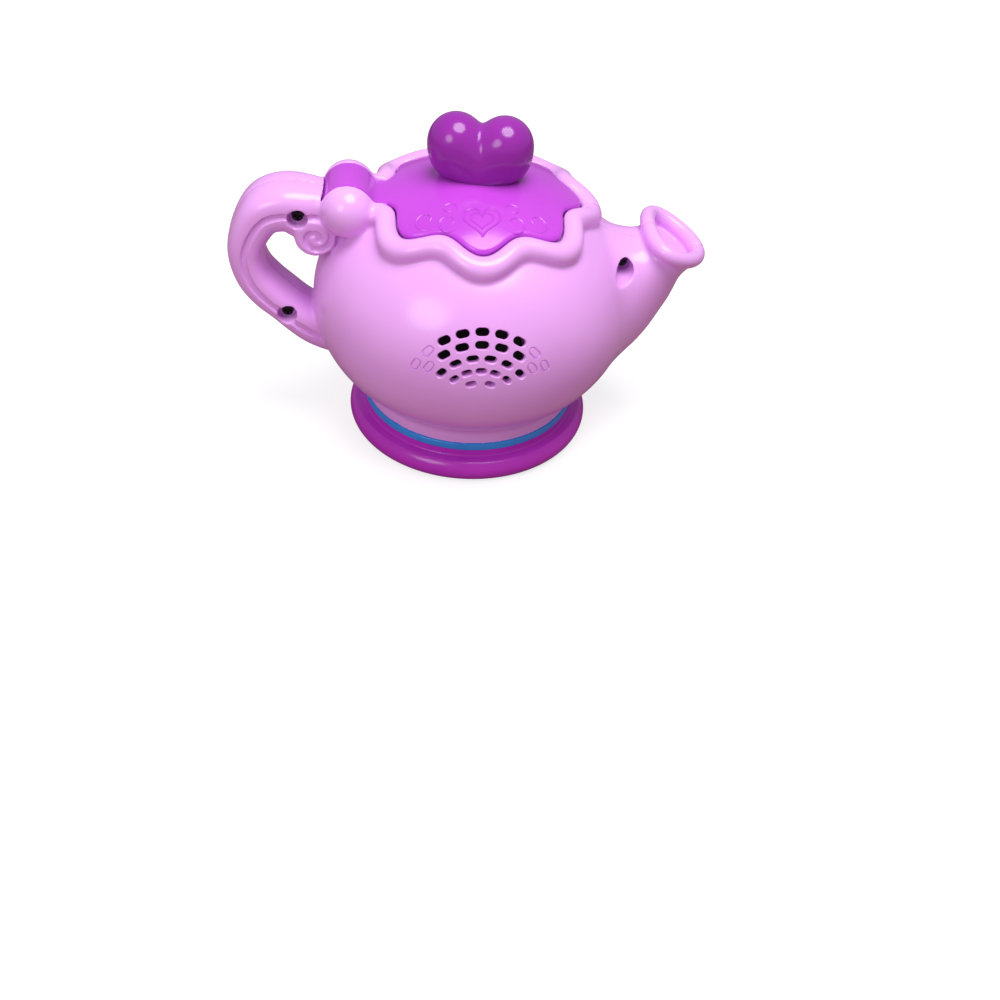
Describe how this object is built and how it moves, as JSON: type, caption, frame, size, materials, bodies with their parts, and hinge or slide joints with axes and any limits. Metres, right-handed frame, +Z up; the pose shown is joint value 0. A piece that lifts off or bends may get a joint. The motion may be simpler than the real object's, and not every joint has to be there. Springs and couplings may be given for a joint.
{
  "type": "toy teapot",
  "caption": "Chunky plastic toy teapot with a hinged wavy lid, a heart knob, a closed spout, a loop handle and a sound unit behind a grille.",
  "frame": {"origin": "on the table plane, under the middle of the belly", "axes": "+X towards the spout, +Z up, -Y towards the grille"},
  "size_m": [0.2058, 0.1437, 0.1518],
  "materials": {
    "pink_abs": "gloss",
    "purple_abs": "gloss",
    "heart_abs": "gloss",
    "blue_abs": "gloss",
    "white_abs": "satin",
    "black_steel": "satin",
    "steel": "satin",
    "cells": "satin",
    "magnet": "matte",
    "paper": "matte",
    "circuit_board": "satin",
    "black_plastic": "matte",
    "lamp": "gloss"
  },
  "bodies": {
    "pot": {"rear_shell": "pink_abs", "front_shell": "pink_abs", "tea_well": "pink_abs", "base_tray": "purple_abs", "battery_door": "purple_abs", "trim_ring": "blue_abs", "battery_door_screw": "black_steel", "base_screws": "black_steel", "shell_screws": "black_steel", "well_screws": "black_steel", "speaker_screws": "black_steel", "main_screws": "black_steel", "button_screws": "black_steel", "hinge_pin": "steel", "contact_springs": "steel", "contact_plates": "steel", "speaker_basket": "steel", "power_switch": "steel", "tilt_switch": "steel", "batteries": "cells", "speaker_magnet": "magnet", "speaker_cone": "paper", "main_board": "circuit_board", "button_board": "circuit_board", "sound_chip": "black_plastic", "capacitor": "black_plastic", "lid_switch": "black_plastic", "button_switch": "black_plastic", "button_lamp": "lamp"},
    "lid": {"lid": "purple_abs", "lid_knob": "heart_abs", "knob_screws": "black_steel"},
    "button": {"heart_button": "heart_abs", "button_plunger": "white_abs"},
    "slider": {"power_slider": "blue_abs"},
    "lid_plunger": {"lid_switch_plunger": "white_abs"}
  },
  "joints": [
    {"name": "lid_hinge", "type": "hinge", "parent": "pot", "child": "lid", "pos_m": [-0.0544, 0, 0.1107], "axis": [0, -1, 0], "range_deg": [0, 100]},
    {"name": "button_press", "type": "slide", "parent": "pot", "child": "button", "axis": [0, -1, 0], "range_m": [0, 0.0015], "stiffness_N_per_m": 500, "springref_m": -0.0005},
    {"name": "power_slide", "type": "slide", "parent": "pot", "child": "slider", "axis": [1, 0, 0], "range_m": [0, 0.006]},
    {"name": "lid_plunger_rise", "type": "slide", "parent": "pot", "child": "lid_plunger", "axis": [0, 0, 1], "range_m": [0, 0.002]}
  ],
  "couplings": [
    {"joint": "lid_plunger_rise", "follows": "lid_hinge", "m_per_rad": 0.001145}
  ]
}
